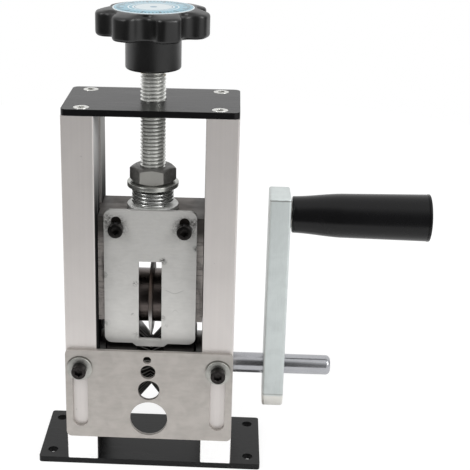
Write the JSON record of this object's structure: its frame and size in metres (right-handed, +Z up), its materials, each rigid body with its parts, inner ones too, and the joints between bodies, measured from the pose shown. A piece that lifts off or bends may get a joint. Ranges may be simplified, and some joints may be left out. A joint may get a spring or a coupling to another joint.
{
  "type": "hand crank wire stripper",
  "caption": "Bench wire stripper: a crank turns a grooved feed roller in an upright frame, and a star knob screws a spring-loaded round blade down on the cable.",
  "frame": {"origin": "centre of the four bench bolt holes on the base plate's underside", "axes": "+X along the drive shaft to the crank, +Y to the back, away from the cable guide plate, +Z up along the adjusting screw"},
  "size_m": [0.1846, 0.0555, 0.2223],
  "materials": {
    "black_plate": "black coating, satin",
    "aluminium_bar": "extruded, matt",
    "bright_plate": "sawn and brushed",
    "steel": "zinc plated",
    "bright_steel": "polished",
    "black_steel": "black oxide",
    "black_block": "black anodised",
    "black_plastic": "moulded, matt",
    "grip_plastic": "moulded, glossy",
    "label": "plain printed disc",
    "brass": "turned"
  },
  "bodies": {
    "frame": {"base_plate": "black_plate", "base_screws": "steel", "left_upright": "aluminium_bar", "right_upright": "aluminium_bar", "top_plate": "black_plate", "top_plate_screws": "steel", "bearing_outer_rings": "bright_steel", "bearing_shields": "steel", "guide_plate_screws": "steel", "guide_plate_washers": "steel"},
    "wire_guide": {"wire_guide_plate": "bright_plate"},
    "crank": {"drive_shaft": "bright_steel", "feed_roller": "black_steel", "roller_set_screws": "black_steel", "shaft_spacers": "steel", "bearing_inner_rings": "bright_steel", "crank_arm": "steel", "crank_set_screw": "black_steel", "handle_spindle": "black_steel"},
    "ball_sets": {"bearing_balls": "bright_steel"},
    "handle": {"handle_grip": "grip_plastic"},
    "screw_carrier": {"upper_washer": "steel"},
    "adjusting_screw": {"adjusting_rod": "steel", "knob_body": "black_plastic", "knob_insert": "brass", "knob_label": "label", "pressure_nut": "steel", "rod_retaining_nut": "steel"},
    "carriage": {"slide_block": "black_block", "cover_plate": "bright_plate", "cover_plate_screws": "steel", "lower_washer": "steel", "pressure_spring": "bright_steel", "blade_axle": "steel", "axle_set_screw": "black_steel"},
    "blade": {"round_blade": "bright_steel", "blade_hub": "steel", "blade_clamp_collar": "steel"}
  },
  "joints": [
    {"name": "guide_lift", "type": "slide", "parent": "frame", "child": "wire_guide", "axis": [0, 0, 1], "range_m": [0, 0.029]},
    {"name": "crank_turn", "type": "hinge", "parent": "frame", "child": "crank", "pos_m": [0, 0, 0.047], "axis": [1, 0, 0], "continuous": true},
    {"name": "ball_orbit", "type": "hinge", "parent": "frame", "child": "ball_sets", "pos_m": [0, 0, 0.047], "axis": [1, 0, 0], "continuous": true},
    {"name": "handle_spin", "type": "hinge", "parent": "crank", "child": "handle", "pos_m": [0.098, 0, 0.1256], "axis": [1, 0, 0], "continuous": true},
    {"name": "height_adjust", "type": "slide", "parent": "frame", "child": "screw_carrier", "axis": [0, 0, 1], "range_m": [-0.0024, 0.026]},
    {"name": "knob_turn", "type": "hinge", "parent": "screw_carrier", "child": "adjusting_screw", "pos_m": [0, 0, 0.2], "axis": [0, 0, 1], "range_deg": [-514.3, 5369.1]},
    {"name": "carriage_float", "type": "slide", "parent": "screw_carrier", "child": "carriage", "axis": [0, 0, 1], "range_m": [0, 0.0012], "stiffness_N_per_m": 2600, "springref_m": -0.004, "deforming": ["pressure_spring"]},
    {"name": "blade_turn", "type": "hinge", "parent": "carriage", "child": "blade", "pos_m": [0, 0, 0.0822], "axis": [1, 0, 0], "continuous": true}
  ],
  "couplings": [
    {"joint": "ball_orbit", "follows": "crank_turn", "ratio": 0.3837},
    {"joint": "knob_turn", "follows": "height_adjust", "rad_per_m": 3590.4}
  ]
}
